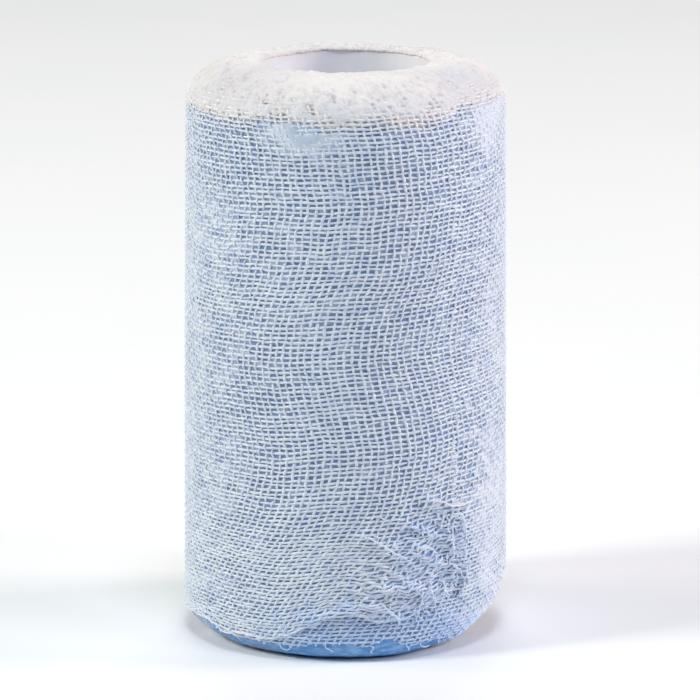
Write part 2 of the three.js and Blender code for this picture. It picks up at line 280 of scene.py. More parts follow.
# Yarns that have come loose, as places along them, with the lift off the cloth's outer face.
# The coat is how warm white the paste on a yarn is, where it isn't as on the others.
STRAY_COAT = 0.1
STRAY_YARNS = [
    dict(half=0.16, azimuth=(6, 11, 16, 21), z=(22.6, 21.4, 19.7, 18.2), lift=(0.1, 0.5, 0.55, 0.1)),
    dict(
        half=0.17,
        coat=0.7,
        azimuth=(30, 34, 38, 43, 47),
        z=(27.6, 27.5, 26.6, 26.7, 25.8),
        lift=(0.0, 0.4, 0.8, 0.8, 0.0),
    ),
    dict(half=0.17, azimuth=(12, 14, 16.5, 18.5), z=(10.8, 9.7, 8.6, 6.6), lift=(0.0, 0.5, 0.5, 0.2)),
    dict(half=0.15, azimuth=(29, 30, 31.4, 32), z=(13.2, 11.6, 10.3, 8.4), lift=(0.1, 0.6, 0.6, 0.2)),
    dict(half=0.15, azimuth=(33, 35, 34, 36.5), z=(14, 12.0, 9.9, 8.3), lift=(0.1, 0.7, 0.7, 0.1)),
    dict(half=0.15, azimuth=(41, 43.5, 44.5, 46.6), z=(25.4, 23.6, 21.0, 18.6), lift=(0.2, 0.6, 0.5, 0.0)),
    dict(half=0.15, azimuth=(40, 43, 46, 48), z=(18.4, 17.0, 15.2, 13.4), lift=(0.3, 0.9, 0.6, 0.0)),
    dict(half=0.15, azimuth=(38, 42, 43, 46), z=(15.8, 14.2, 11.8, 9.8), lift=(0.4, 0.9, 0.7, 0.0)),
    dict(half=0.14, azimuth=(24, 26, 25, 27.5), z=(12.6, 10.6, 8.8, 7.0), lift=(0.2, 0.6, 0.5, 0.1)),
    dict(half=0.14, azimuth=(36, 38, 37.4, 40), z=(23.4, 22.0, 20.0, 18.6), lift=(0.3, 0.6, 0.6, 0.3)),
    dict(half=0.13, azimuth=(-22, -19, -15, -12), z=(5.8, 4.6, 4.7, 3.4), lift=(0.1, 0.4, 0.3, 0.0)),
    dict(half=0.13, azimuth=(-52, -48, -43, -40), z=(5.0, 3.6, 3.4, 2.2), lift=(0.1, 0.4, 0.3, 0.0)),
    dict(half=0.12, azimuth=(-23.5, -23, -21.4, -20), z=(3.2, 2.3, 1.7, 2.1), lift=(-0.2, 0.0, 0.0, -0.3)),
    dict(half=0.12, azimuth=(-7, -6.6, -5.2, -5.0), z=(3.3, 2.6, 2.3, 1.6), lift=(-0.3, -0.1, -0.1, -0.3)),
    dict(half=0.12, azimuth=(8.5, 9.2, 8.3, 9.6), z=(3.2, 2.4, 1.9, 1.3), lift=(-0.3, -0.1, -0.1, -0.3)),
    dict(half=0.13, azimuth=(21, 22, 22.8, 23), z=(3.2, 2.2, 1.6, 0.9), lift=(-0.3, -0.1, -0.1, -0.2)),
    dict(half=0.15, azimuth=(27, 28, 30.5, 33), z=(3.0, 1.8, 1.2, 1.0), lift=(-0.3, -0.1, 0.0, -0.2)),
    dict(half=0.15, azimuth=(34, 35.5, 36, 38), z=(3.2, 2.4, 1.6, 1.4), lift=(-0.3, -0.1, 0.0, -0.2)),
    dict(half=0.13, azimuth=(40, 42, 45, 47), z=(2.8, 1.6, 1.5, 2.8), lift=(-0.3, -0.1, -0.1, -0.3)),
]

# Middles of places on the roll painted with light or shade, as x, y and height, and how far each reaches:
# blue reflected light at the foot's front, blue shade at the corner and shade at the right shoulder
FOOT_FRONT, FOOT_REACH = (8, -28, 2), 28
CORNER, CORNER_REACH = (15.5, -24, 17.5), 12
RIGHT_SHOULDER, RIGHT_SHOULDER_REACH = (24.5, -12, 95), 13

# Colours as red, green and blue. The side's cool blue-white is partly the paste's own tone and partly painted
# blue reflected light.
YARN_WHITE = (0.785, 0.845, 0.925)
YARN_THINLY_PASTED = (0.65, 0.73, 0.875)
YARN_CLOUDY = (0.70, 0.73, 0.87)
# Painted blue reflected light and shade low at the front of the roll
YARN_FOOT_BLUE_REFLECTION = (0.45, 0.62, 0.90)
# Painted blue shade at the loose corner
YARN_CORNER_BLUE_SHADE = (0.58, 0.69, 0.90)
YARN_COATED = (0.90, 0.84, 0.82)
# Painted slate-blue shade in open gaps, where the paste lies deep between the yarns
GAP_OPEN_SHADE = (0.20, 0.285, 0.47)
GAP_FILLED = (0.68, 0.72, 0.84)
# Painted blue reflected light and shade low at the front of the roll
GAP_FOOT_BLUE_REFLECTION = (0.22, 0.43, 0.76)
# Painted blue shade at the loose corner
GAP_CORNER_BLUE_SHADE = (0.22, 0.37, 0.66)
SMEARED_PASTE = (0.52, 0.61, 0.75)
# The bare foot painted in blue reflected light, darker where it lies in shade
BARE_FOOT_REFLECTION_DARK = (0.08, 0.27, 0.60)
BARE_FOOT_REFLECTION_LIGHT = (0.24, 0.47, 0.78)
TOP_WHITE = (0.93, 0.86, 0.83)
TOP_CLOUDY = (0.89, 0.825, 0.81)
# Painted cool shade low on the shoulder, where it turns away from the top light
TOP_SHOULDER_SHADE = (0.70, 0.74, 0.82)
# Painted shade at the right shoulder
TOP_RIGHT_SHADE = (0.70, 0.72, 0.79)
# Painted grey shade in the paste's pits and hollows
TOP_PIT_SHADE = (0.54, 0.51, 0.57)
CORE_WHITE = (0.885, 0.87, 0.925)
CORE_MARK = (0.87, 0.86, 0.915)
FLOOR_WHITE = (0.97, 0.95, 0.95)
FLOOR_MOTTLE = (0.955, 0.94, 0.945)

# The studio, in metres and watts
FLOOR_HALF = 6.0
WORLD_COLOUR = (0.5, 0.7, 1.0)
WORLD_STRENGTH = 0.03
LIGHTS_AIM = (0, 0, 0.05)
LIGHTS = [
    dict(name="high left", place=(-1.2, -0.45, 1.1), size=0.35, power=12.8, colour=(0.89, 1.0, 0.91)),
    dict(name="high back", place=(0, 1.4, 1.6), size=1.0, power=12.2, colour=(0.95, 1.0, 0.96)),
    dict(name="overhead", place=(0.1, -0.45, 1.7), size=0.4, power=9.4, colour=(0.77, 0.84, 1.0)),
    dict(name="left", place=(-1.4, 0.15, 0.5), size=0.5, power=7.2, colour=(1.0, 0.84, 0.76)),
    dict(name="right", place=(1.4, 0.1, 0.6), size=0.5, power=12.6, colour=(1.0, 0.87, 0.79)),
    dict(name="right front", place=(1.2, -0.7, 0.7), size=0.5, power=6, colour=(0.87, 0.91, 1.0)),
]
CAMERA_ELEVATION = 12.47
CAMERA_DISTANCE = 0.8
CAMERA_AIM = (0.0007, 0, 0.0486)
CAMERA_LENS = 236.2


def ease(t):
    """3t² - 2t³, with t held from 0 to 1."""
    t = np.clip(t, 0, 1)
    return t * t * (3 - 2 * t)


def read_table(rows, column, place, key="azimuth"):
    """A table's column at each place, eased from one row to the next."""
    knots = np.array([row[key] for row in rows], float)
    values = np.array([row[column] for row in rows], float)
    k = np.clip(np.searchsorted(knots, place, side="right") - 1, 0, len(knots) - 2)
    share = (place - knots[k]) / (knots[k + 1] - knots[k])
    return values[k] + (values[k + 1] - values[k]) * ease(share)


def turn_from(azimuth, other):
    """The shorter way round from one azimuth to another, from -180 to 180."""
    return (azimuth - other + 180) % 360 - 180


def soft_noise(azimuth, climb, cells_around, cell_up, seed):
    """Random values from -1 to 1 on a lattice round the roll, eased between its points."""
    rows = 257
    lattice = np.random.default_rng(seed).uniform(-1, 1, (rows, cells_around))
    x = np.asarray(azimuth) / 360 * cells_around
    y = np.asarray(climb) / cell_up
    left, low = np.floor(x).astype(int), np.floor(y).astype(int)
    tx, ty = ease(x - left), ease(y - low)
    west, east = left % cells_around, (left + 1) % cells_around
    south, north = low % rows, (low + 1) % rows
    below = lattice[south, west] * (1 - tx) + lattice[south, east] * tx
    above = lattice[north, west] * (1 - tx) + lattice[north, east] * tx
    return below * (1 - ty) + above * ty


def soft_spots(rows, column, azimuth, z):
    """The sum of a table's soft spots: each its height times exp(-(across² + up²))."""
    total = np.zeros(np.broadcast(azimuth, z).shape)
    for spot in rows:
        across = turn_from(azimuth, spot["azimuth"]) / spot["wide"]
        up = (z - spot["z"]) / spot["tall"]
        total = total + spot[column] * np.exp(-(across**2 + up**2))
    return total


def side_radius(azimuth, z, turns):
    """The cloth's outer face, so many turns in: it tapers upwards, is slightly oval and swells softly."""
    taper = FOOT_SPREAD * (0.5 - z / SHOULDER_HEIGHT)
    oval = OVALITY * np.cos(np.radians(2 * azimuth))
    return ROLL_RADIUS - TURN_STEP * turns + taper + oval + soft_spots(SWELLINGS, "rise", azimuth, z)


def crest_height(azimuth, radius):
    """The crest's level with its lumps: each its rise times exp(-(distance / reach)²)."""
    x, y = radius * np.sin(np.radians(azimuth)), -radius * np.cos(np.radians(azimuth))
    height = np.full(np.broadcast(x, y).shape, float(CREST_HEIGHT))
    for lump in CREST_LUMPS:
        angle = math.radians(lump["azimuth"])
        away_x = x - lump["radius"] * math.sin(angle)
        away_y = y + lump["radius"] * math.cos(angle)
        height = height + lump["rise"] * np.exp(-(away_x**2 + away_y**2) / lump["reach"] ** 2)
    return height


# Angles along the shoulder's curve, and the length of cloth up to each
SHOULDER_POWER = 2 / SHOULDER_FULLNESS
SHOULDER_ANGLES = np.linspace(0, math.pi / 2, 400)
_inward = (ROLL_RADIUS - FOOT_SPREAD / 2 - CREST_RADIUS) * np.cos(SHOULDER_ANGLES) ** SHOULDER_POWER
_upward = (CREST_HEIGHT - SHOULDER_HEIGHT) * np.sin(SHOULDER_ANGLES) ** SHOULDER_POWER
SHOULDER_LENGTHS = np.concatenate([[0], np.cumsum(np.hypot(np.diff(_inward), np.diff(_upward)))])
SHOULDER_END = SHOULDER_HEIGHT + SHOULDER_LENGTHS[-1]
CREST_END = SHOULDER_END + CREST_RADIUS - LIP_RADIUS - LIP_ROUND
LIP_END = CREST_END + LIP_ROUND * math.pi / 2


def outline(azimuth, climb, turns):
    """Radius and height after so many millimetres up the roll's outline.

    It runs along the floor, round the foot's quarter circle, up the side, over the shoulder's superellipse,
    in along the crest and down the lip's quarter circle into the bore.
    """
    rounding = read_table(FOOT_ROUNDING, "radius", turn_from(azimuth, 0))
    side = side_radius(azimuth, np.clip(climb, 0, SHOULDER_HEIGHT), turns)
    under = np.clip((rounding - climb) / rounding, 0, math.pi / 2)
    radius = side - rounding * (1 - np.cos(under))
    radius = radius - np.maximum(rounding * (1 - math.pi / 2) - climb, 0)
    height = np.where(climb < rounding, rounding * (1 - np.sin(under)), climb)

    turned = np.interp(climb - SHOULDER_HEIGHT, SHOULDER_LENGTHS, SHOULDER_ANGLES)
    over = climb > SHOULDER_HEIGHT
    inward = np.clip(np.cos(turned), 0, 1) ** SHOULDER_POWER
    radius = np.where(over, CREST_RADIUS + (side - CREST_RADIUS) * inward, radius)
    level = np.clip(climb - SHOULDER_END, 0, CREST_END - SHOULDER_END)
    drop = np.clip((climb - CREST_END) / LIP_ROUND, 0, math.pi / 2)
    radius = radius - level - LIP_ROUND * np.sin(drop)
    rise = (crest_height(azimuth, radius) - SHOULDER_HEIGHT) * np.sin(turned) ** SHOULDER_POWER
    height = np.where(over, SHOULDER_HEIGHT + rise, height)
    height = height - LIP_ROUND * (1 - np.cos(drop)) - np.maximum(climb - LIP_END, 0)
    return radius, height


def on_roll(azimuth, climb, turns, lift):
    """Points lifted off the roll's outline along its normal, and those normals.

    The normal is the outline's own direction turned by 90 degrees, from points a little below and above.
    """
    step = 0.25
    radius, height = outline(azimuth, climb, turns)
    low_radius, low_height = outline(azimuth, climb - step, turns)
    high_radius, high_height = outline(azimuth, climb + step, turns)
    out, up = high_height - low_height, low_radius - high_radius
    length = np.maximum(np.hypot(out, up), 1e-9)
    out, up = out / length, up / length
    radius, height = radius + lift * out, height + lift * up
    sine, cosine = np.sin(np.radians(azimuth)), np.cos(np.radians(azimuth))
    points = np.stack([radius * sine, -radius * cosine, height + 0 * azimuth], -1)
    normals = np.stack([out * sine, -out * cosine, up + 0 * azimuth], -1)
    return points, normals


def fold_lift(azimuth, z):
    """How far the loose corner's folds lift the cloth: each its rise times exp(-(distance / half)²)."""
    x = np.radians(azimuth) * ROLL_RADIUS
    total = np.zeros(np.broadcast(x, z).shape)
    for fold in FOLDS:
        start_x, start_z = math.radians(fold["start"][0]) * ROLL_RADIUS, fold["start"][1]
        run_x = math.radians(fold["end"][0]) * ROLL_RADIUS - start_x
        run_z = fold["end"][1] - start_z
        share = ((x - start_x) * run_x + (z - start_z) * run_z) / (run_x**2 + run_z**2)
        share = np.clip(share, 0, 1)
        away = np.hypot(x - start_x - share * run_x, z - start_z - share * run_z)
        total = total + fold["rise"] * np.exp(-((away / fold["half"]) ** 2))
    return total


def crumple(azimuth, z):
    """How crumpled the loose corner is: exp(-(across⁴ + up⁴)), and it reaches further left lower down."""
    reach = CRUMPLE_REACH + CRUMPLE_LOW_REACH * ease((22 - z) / 7)
    across = (azimuth - CRUMPLE_RIGHT + reach) / reach
    up = (z - CRUMPLE_MIDDLE) / CRUMPLE_TALL
    return np.exp(-(across**4 + up**4))


def paste_fill(azimuth, climb):
    """How full of paste the gauze's gaps are: from 0 to 1, and more where it smears over the yarns.

    It is the table's soft spots and two sizes of soft noise, about 5 mm and 1 mm.
    """
    fill = soft_spots(PASTE_FILLS, "fill", azimuth, climb)
    blotches = 0.16 * soft_noise(azimuth, climb, 34, 5.5, 11)
    blotches = blotches + 0.36 * soft_noise(azimuth, climb, 134, 0.9, 12)
    return np.clip(fill + blotches + 0.1, 0, 1.7)


def above_border(azimuth, climb):
    """How far a place lies above the wandering border of the wound end's thick paste, in millimetres."""
    border = read_table(PASTE_BORDER, "z", turn_from(azimuth, 0))
    border = border + 0.3 * soft_noise(azimuth, climb, 60, 3.0, 81)
    border = border + 0.3 * soft_noise(azimuth, climb, 150, 1.3, 82)
    return climb - border


def paste_coat(azimuth, climb):
    """How much of the wound end's thick paste a yarn carries, from 0 below its border to 1 above it."""
    return ease((above_border(azimuth, climb) + 1.3) / 2.8)


def weft_paths():
    """Climb and sideways slip along the weft yarns, on a lattice of azimuths and rows.

    A yarn that leans keeps its length, so each row climbs ROW_PITCH * cos(lean) and slips sideways by
    ROW_PITCH * sin(lean). The leans at the front fade and lie higher at the back.
    """
    azimuth = np.arange(-180, 180, 5.0)
    z = np.arange(-14, 122, 0.25)
    rows = np.arange(-16, 144, 0.5)
    behind = ease((np.abs(azimuth) - 75) / 70)[:, None]
    lean = np.radians(read_table(WEFT_LEANS, "lean", z + 24 * behind, "z") * (1 - 0.45 * behind))
    length = np.cumsum(0.25 / np.cos(lean), axis=1)
    slip = np.cumsum(0.25 * np.tan(lean), axis=1)
    length = length - length[:, z == 3]
    slip = slip - slip[:, z == 22]
    climbs = np.stack([np.interp(rows * ROW_PITCH, one, z - 3) for one in length]) + 3
    slips = np.stack([np.interp(high, z, one) for high, one in zip(climbs, slip)])
    return climbs, slips


WEFT_CLIMBS, WEFT_SLIPS = weft_paths()


def along_weft(lattice, azimuth, row):
    """Reads the lattice of weft paths at an azimuth and row, straight between its points."""
    x = (azimuth + 180) / 5
    y = np.clip((row + 16) * 2, 0, lattice.shape[1] - 2)
    left, low = np.floor(x).astype(int), np.floor(y).astype(int)
    tx, ty = x - left, y - low
    west, east = left % len(lattice), (left + 1) % len(lattice)
    below = lattice[west, low] * (1 - tx) + lattice[east, low] * tx
    above = lattice[west, low + 1] * (1 - tx) + lattice[east, low + 1] * tx
    return below * (1 - ty) + above * ty


def cut_azimuth(climb):
    """The cut end's azimuth by height: it leans left above the corner, with a long and a short wave."""
    return CUT_AZIMUTH - 4.5 * ease((climb - 6) / 12) + 0.9 * np.sin(climb / 4.9) + 0.6 * np.sin(climb / 1.5)


def edge_pull(azimuth, climb):
    """How far the outermost turn's raised lower edge pulls the gauze up with it."""
    raised = PULL_SHARE * np.maximum(read_table(TURN_EDGE, "z", azimuth) - EDGE_CLIMB, 0)
    return raised * np.exp(-np.maximum(climb - EDGE_CLIMB, 0) / PULL_REACH)


def cut_columns(row):
    """The gauze's column just inside its cut end, at each row."""
    base = along_weft(WEFT_CLIMBS, CUT_AZIMUTH, row)
    slip = along_weft(WEFT_SLIPS, CUT_AZIMUTH, row)
    climb = base + edge_pull(CUT_AZIMUTH, base)
    azimuth = CUT_AZIMUTH + np.degrees(slip / ROLL_RADIUS)
    return (azimuth - cut_azimuth(climb) + 1.5) * COLUMNS / 360


def cloth_place(column, row):
    """Where a point of the gauze lies: azimuth, climb, turns in from the cut end, and lift off its turn.

    Column counts from the cut end leftwards round the roll, and row upwards. The gauze leans, sags, is pulled
    up at its loose corner and crumples there, and above the corner its cut end is pressed down flush.
    """
    azimuth = CUT_AZIMUTH - 360 * column / COLUMNS
    around = turn_from(azimuth, 0)
    base = along_weft(WEFT_CLIMBS, around, row)
    slip = along_weft(WEFT_SLIPS, around, row)
    sideways = slip + 0.24 * soft_noise(around, base, 16, 9.0, 21)
    sideways = sideways + 0.13 * soft_noise(around, base, 60, 3.0, 22)
    azimuth = azimuth + np.degrees(sideways / ROLL_RADIUS)

    around = turn_from(azimuth, 0)
    upwards = read_table(WARP_TILTS, "tilt", base, "z") * np.sin(np.radians(around))
    upwards = upwards + 0.28 * soft_noise(around, base, 14, 13.0, 23)
    upwards = upwards + 0.13 * soft_noise(around, base, 46, 4.0, 24)
    climb = base + upwards * ease((base - 3) / 5) * ease((100 - base) / 5)

    turns = (cut_azimuth(climb) - azimuth) / 360
    outermost = turns < 1
    climb = climb + edge_pull(azimuth, climb) * outermost

    loose = outermost * ease((azimuth - ROOT_AZIMUTH) / 8)
    crumpled = crumple(azimuth, climb) * loose
    aslant = around + 1.6 * climb
    azimuth = azimuth + np.degrees(crumpled * 0.34 * soft_noise(aslant, climb, 150, 1.5, 31) / ROLL_RADIUS)
    climb = climb + crumpled * 0.30 * soft_noise(aslant, climb, 150, 1.5, 32)
    lift = crumpled * (0.10 + 0.36 * soft_noise(aslant, climb, 120, 1.9, 33))
    lift = lift + loose * fold_lift(azimuth, climb)
    pressed = outermost * ease((9 - 360 * turns) / 9) * ease((climb - 24) / 5)
    lift = lift - TURN_STEP * pressed
    return azimuth, climb, turns, lift


def gauze_shown(azimuth, climb, turns, row_base):
    """Where there is gauze to build: the outermost turn, and below its edge a strip of the turn under it."""
    edge = read_table(TURN_EDGE, "z", azimuth)
    outer = (turns < 1) & (row_base >= np.minimum(edge, EDGE_CLIMB)) & (climb >= edge - 0.1)
    edge_above = read_table(TURN_EDGE, "z", azimuth + 360)
    under_edge = read_table(UNDER_EDGE, "z", azimuth + 360)
    under = (turns >= 1) & (climb <= edge_above + 3) & (climb >= under_edge)
    under |= (turns >= 1) & (turns < np.where(climb > 26, 1.006, 1.02))
    return (outer | under) & (climb < BURIED_CLIMB)


def tubes(centres, outward, half_width, half_height, present, sides=YARN_SIDES):
    """Closed tubes with an elliptical section, one for each row of centres, built only where present.

    A section's points are centre + half_width * cos(t) * sideways + half_height * sin(t) * outward, where
    sideways is outward crossed with the tube's own direction. A run of sections is capped at both ends.
    Returns the points, the side faces, their corners' places along and round the tube, and the end caps.
    """
    steps = centres.shape[1]
    along = np.gradient(centres, axis=1)
    along = along / np.maximum(np.linalg.norm(along, axis=-1, keepdims=True), 1e-9)
    outward = outward - along * np.sum(along * outward, -1, keepdims=True)
    outward = outward / np.maximum(np.linalg.norm(outward, axis=-1, keepdims=True), 1e-9)
    sideways = np.cross(outward, along)
    angles = 2 * math.pi * np.arange(sides) / sides
    ring = half_width[..., None, None] * np.cos(angles)[:, None] * sideways[..., None, :]
    ring = ring + half_height[..., None, None] * np.sin(angles)[:, None] * outward[..., None, :]
    points = (centres[..., None, :] + ring).reshape(-1, 3)

    joined = present[:, :-1] & present[:, 1:]
    tube, step = np.nonzero(joined)
    first = (tube * steps + step)[:, None] * sides
    side = np.arange(sides)[None, :]
    after = (side + 1) % sides
    quads = np.stack([first + side, first + after, first + sides + after, first + sides + side], -1)
    quads = quads.reshape(-1, 4)
    length = np.cumsum(np.linalg.norm(np.diff(centres, axis=1, prepend=centres[:, :1]), axis=-1), axis=1)
    here, there = length[tube, step][:, None] + 0 * side, length[tube, step + 1][:, None] + 0 * side
    turn, turned = (side + 0 * here) / sides, (side + 1 + 0 * here) / sides
    places = np.stack([here, turn, here, turned, there, turned, there, turn], -1).reshape(-1, 4, 2)

    before = np.pad(joined, ((0, 0), (1, 0)))
    behind = np.pad(joined, ((0, 0), (0, 1)))
    starts = np.nonzero((behind & ~before).ravel())[0][:, None] * sides + side[:, ::-1]
    ends = np.nonzero((before & ~behind).ravel())[0][:, None] * sides + side
    return points, quads, places, np.concatenate([starts, ends])


def to_mesh(name, points, faces, places=None, values=None, smooth=True):
    """A Blender object from points in millimetres and arrays of faces, each array with faces of one size.

    Points that no face uses are left out. Places are UV pairs for the first array's face corners, and values
    are named numbers for each point.
    """
    corners = np.concatenate([f.ravel() for f in faces])
    used, corners = np.unique(corners, return_inverse=True)
    sizes = np.concatenate([np.full(len(f), f.shape[1]) for f in faces])
    mesh = bpy.data.meshes.new(name)
    mesh.vertices.add(len(used))
    mesh.vertices.foreach_set("co", (points[used] * MM).astype(np.float32).ravel())
    mesh.loops.add(len(corners))
    mesh.loops.foreach_set("vertex_index", corners.astype(np.int32))
    mesh.polygons.add(len(sizes))
    mesh.polygons.foreach_set("loop_start", np.concatenate([[0], np.cumsum(sizes)[:-1]]).astype(np.int32))
    mesh.polygons.foreach_set("use_smooth", np.full(len(sizes), smooth))
    if places is not None:
        uv = np.zeros((len(corners), 2), np.float32)
        uv[: places.shape[0] * places.shape[1]] = places.reshape(-1, 2)
        mesh.uv_layers.new(name="along").data.foreach_set("uv", uv.ravel())
    for key, value in (values or {}).items():
        attribute = mesh.attributes.new(key, "FLOAT", "POINT")
        attribute.data.foreach_set("value", value.ravel()[used].astype(np.float32))
    mesh.update(calc_edges=True)
    obj = bpy.data.objects.new(name, mesh)
    bpy.context.scene.collection.objects.link(obj)
    return obj


def grid_faces(rows, columns, rows_close, columns_close):
    """The corners of a grid's quads, closing on itself along its rows or its columns where asked."""
    row = np.arange(rows if rows_close else rows - 1)[:, None]
    column = np.arange(columns if columns_close else columns - 1)[None, :]
    next_row, next_column = (row + 1) % rows, (column + 1) % columns
    corners = [row * columns + column, row * columns + next_column]
    corners += [next_row * columns + next_column, next_row * columns + column]
    return np.stack(corners, -1).reshape(-1, 4)


def wiggle(index, place, cell, seed):
    """Each yarn's own soft noise along its length, from -1 to 1."""
    return soft_noise(index * 7.0, place, 360, cell, seed)


def loosen(climb, turns):
    """How frayed the gauze is, from 0 to 1: most at the lower part of its cut end."""
    return ease((8 - 360 * turns) / 9) * ease((29 - climb) / 4)


def messiness(azimuth, climb, turns):
    """How much more than usual a yarn wanders: 1 for most of the gauze, and up to 2.2 at the loose corner."""
    return 1 + 1.2 * crumple(azimuth, climb) * (turns < 1) * (azimuth > ROOT_AZIMUTH)


def thickness_along(index, place, seed, messy):
    """A yarn's thickness against its usual one: slow and quick soft noise, and thicker where it crumples."""
    even = 1 + 0.2 * wiggle(index, place, 3.0, seed) + 0.18 * wiggle(index, place, 0.9, seed + 1)
    return even * (1 + 0.04 * (messy - 1))


def warp_yarns():
    """Yarns round the roll, over one weft yarn and under the next: lift is cos(pi * (column + row)) deep.

    They wander by soft noise, more where they crumple or fray, and end by chance near the cut.
    """
    rows = np.arange(FIRST_ROW, LAST_ROW)[:, None].astype(float)
    count = COLUMNS + 2 * EXTRA_COLUMNS + ROOT_COLUMN
    columns = np.linspace(-EXTRA_COLUMNS, count - EXTRA_COLUMNS, count * STEPS_A_CROSSING + 1)[None, :]
    rows, columns = np.broadcast_arrays(rows, columns)
    azimuth, climb, turns, lift = cloth_place(columns, rows)
    frayed = loosen(climb, turns)
    messy = messiness(azimuth, climb, turns)
    climb = climb + messy * 0.11 * wiggle(rows, columns, 1.2, 41) + 0.09 * wiggle(rows, columns, 5.0, 42)
    climb = climb + frayed * 0.55 * wiggle(rows, columns, 1.6, 43)
    crimp = WARP_CRIMP * np.cos(math.pi * (columns + rows))
    lift = lift + YARN_MIDDLE + crimp + frayed * 0.35 * np.abs(wiggle(rows, columns, 1.5, 44))
    lift = lift + (messy - 1) * 0.11 * wiggle(rows, columns, 1.8, 48)
    centres, outward = on_roll(azimuth, climb, turns, lift)
    centres[..., 2] = np.maximum(centres[..., 2], YARN_HALF_HEIGHT)

    ends = np.random.default_rng(45).uniform(-3.4, 3.0, (len(rows), 1))
    ends = np.where(climb < 26, ends, -1.5)
    present = gauze_shown(azimuth, climb, turns, along_weft(WEFT_CLIMBS, turn_from(azimuth, 0), rows))
    present &= 360 * turns >= ends
    thickness = thickness_along(rows, columns, 46, messy)
    coat = paste_coat(azimuth, climb)
    return centres, outward, WARP_HALF_WIDTH * thickness, YARN_HALF_HEIGHT * thickness, present, coat


def weft_yarns():
    """Yarns up the roll, down where the warp is up: lift is -cos(pi * (column + row)) deep.

    They wander as the warp does, and end by chance a little beyond or short of the cloth's edge.
    """
    columns = np.arange(-EXTRA_COLUMNS, COLUMNS + EXTRA_COLUMNS + ROOT_COLUMN)[:, None].astype(float)
    rows = np.linspace(FIRST_ROW, LAST_ROW - 1, (LAST_ROW - 1 - FIRST_ROW) * STEPS_A_CROSSING + 1)[None, :]
    columns, rows = np.broadcast_arrays(columns, rows)
    azimuth, climb, turns, lift = cloth_place(columns, rows)
    frayed = loosen(climb, turns)
    messy = messiness(azimuth, climb, turns)
    sideways = messy * 0.19 * wiggle(columns, rows, 1.15, 51) + 0.1 * wiggle(columns, rows, 6.0, 52)
    sideways = sideways + frayed * 0.6 * wiggle(columns, rows, 3.4, 53)
    azimuth = azimuth + np.degrees(sideways / ROLL_RADIUS)
    crimp = -0.03 - WEFT_CRIMP * np.cos(math.pi * (columns + rows))
    lift = lift + YARN_MIDDLE + crimp + frayed * 0.3 * np.abs(wiggle(columns, rows, 3.0, 54))
    lift = lift + (messy - 1) * 0.11 * wiggle(columns, rows, 1.8, 58)
    centres, outward = on_roll(azimuth, climb, turns, lift)
    centres[..., 2] = np.maximum(centres[..., 2], YARN_HALF_HEIGHT)

    tails = np.random.default_rng(55).uniform(-0.3, 0.4, (len(columns), 1))
    base = along_weft(WEFT_CLIMBS, turn_from(azimuth, 0), rows)
    present = gauze_shown(azimuth, climb + tails, turns, base + tails)
    present &= 360 * turns >= np.where(climb > 26, -0.2, 0.5)
    thickness = thickness_along(columns, rows, 56, messy)
    coat = paste_coat(azimuth, climb)
    return centres, outward, WEFT_HALF_WIDTH * thickness, YARN_HALF_HEIGHT * thickness, present, coat


def yarn_pieces(name, yarns, pieces):
    """Splits a set of yarns into a few pieces of neighbours, each a mesh of its own."""
    *shape, coat = yarns
    made = []
    for k, chosen in enumerate(np.array_split(np.arange(len(coat)), pieces)):
        points, quads, places, caps = tubes(*(part[chosen] for part in shape))
        values = dict(coat=np.repeat(coat[chosen], YARN_SIDES))
        made.append(to_mesh(f"{name}_{k + 1}", points, [quads, caps], places, values))
    return made


def curve_through(yarn, share):
    """Azimuth, height and lift at shares of a stray yarn's length: the polynomial through its places."""
    places = np.array([yarn["azimuth"], yarn["z"], yarn["lift"]], float).T
    knots = np.linspace(0, 1, len(places))
    curve = np.polynomial.polynomial.polyfit(knots, places, len(places) - 1)
    return np.polynomial.polynomial.polyval(share, curve)


